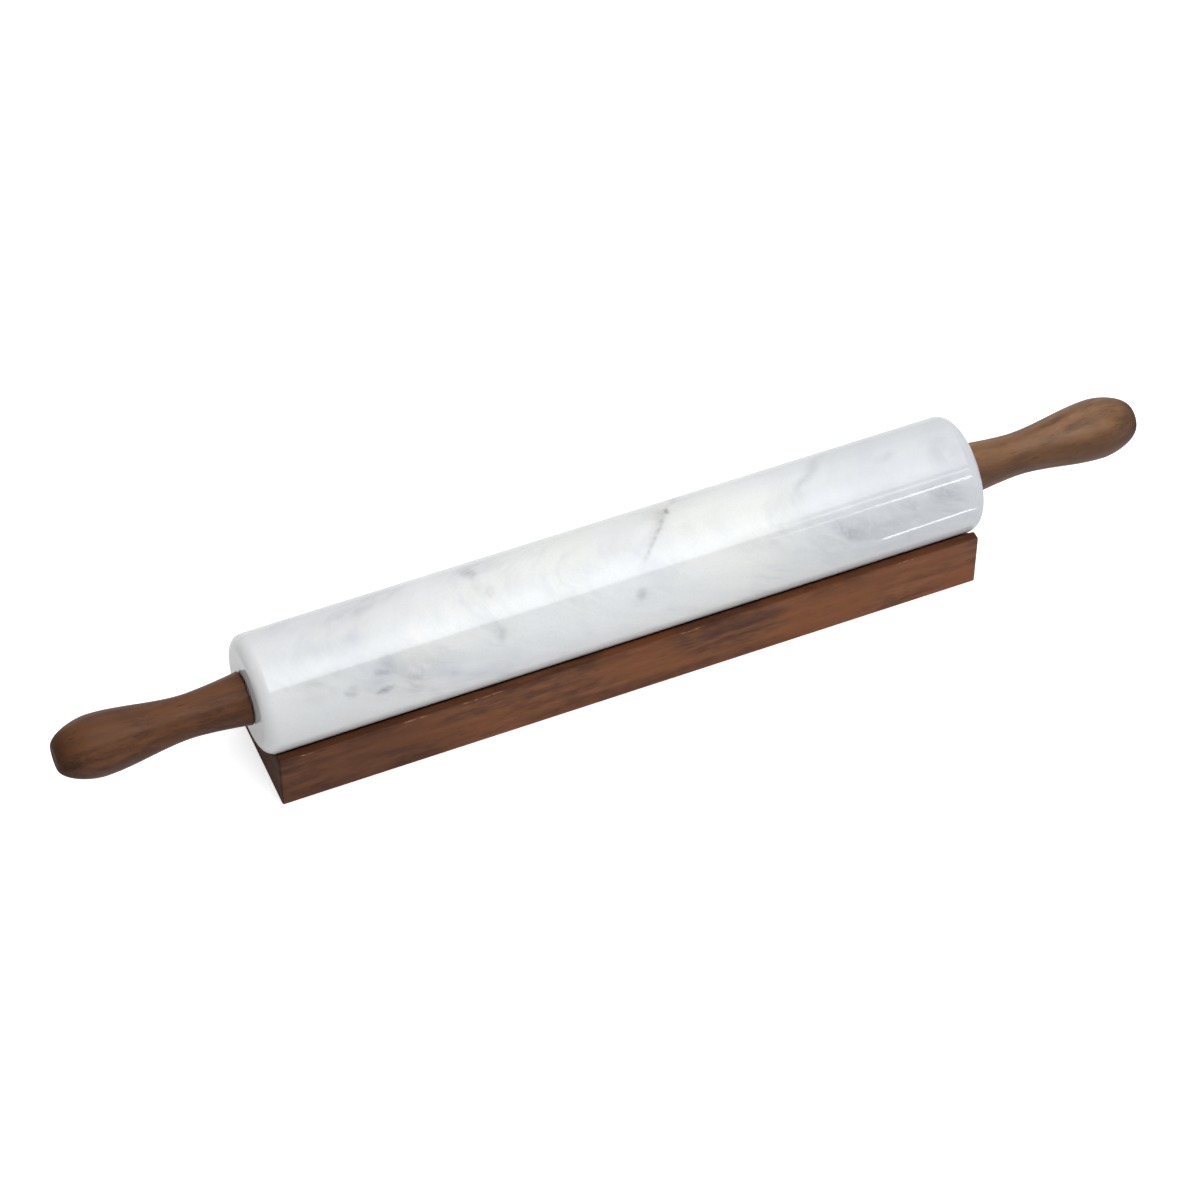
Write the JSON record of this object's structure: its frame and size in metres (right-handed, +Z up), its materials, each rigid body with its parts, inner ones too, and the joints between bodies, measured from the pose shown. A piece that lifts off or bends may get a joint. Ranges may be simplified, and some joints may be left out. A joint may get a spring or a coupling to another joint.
{
  "type": "marble rolling pin with cradle",
  "caption": "Marble rolling pin with turned wooden handles, lying in a wooden cradle; the barrel spins on a steel rod and the pin lifts off.",
  "frame": {"origin": "under the middle of the cradle, on the surface that it stands on", "axes": "+X along the pin, +Y away from the viewer of the picture, +Z up"},
  "size_m": [0.459, 0.0498, 0.0632],
  "materials": {
    "cradle_wood": "oiled",
    "marble": "polished",
    "rod_steel": "brushed",
    "bush_nylon": "matte",
    "insert_brass": "turned",
    "handle_wood": "oiled"
  },
  "bodies": {
    "cradle": {"cradle": "cradle_wood"},
    "handles": {"axle_rod": "rod_steel", "left_thrust_washer": "rod_steel", "right_thrust_washer": "rod_steel", "left_insert": "insert_brass", "right_insert": "insert_brass", "left_handle": "handle_wood", "right_handle": "handle_wood"},
    "barrel": {"barrel": "marble", "left_bush": "bush_nylon", "right_bush": "bush_nylon"}
  },
  "joints": [
    {"name": "pin_lift", "type": "slide", "parent": "cradle", "child": "handles", "axis": [0, 0, 1], "range_m": [0, 0.06]},
    {"name": "barrel_spin", "type": "hinge", "parent": "handles", "child": "barrel", "pos_m": [0, 0, 0.03895], "axis": [1, 0, 0], "continuous": true}
  ]
}
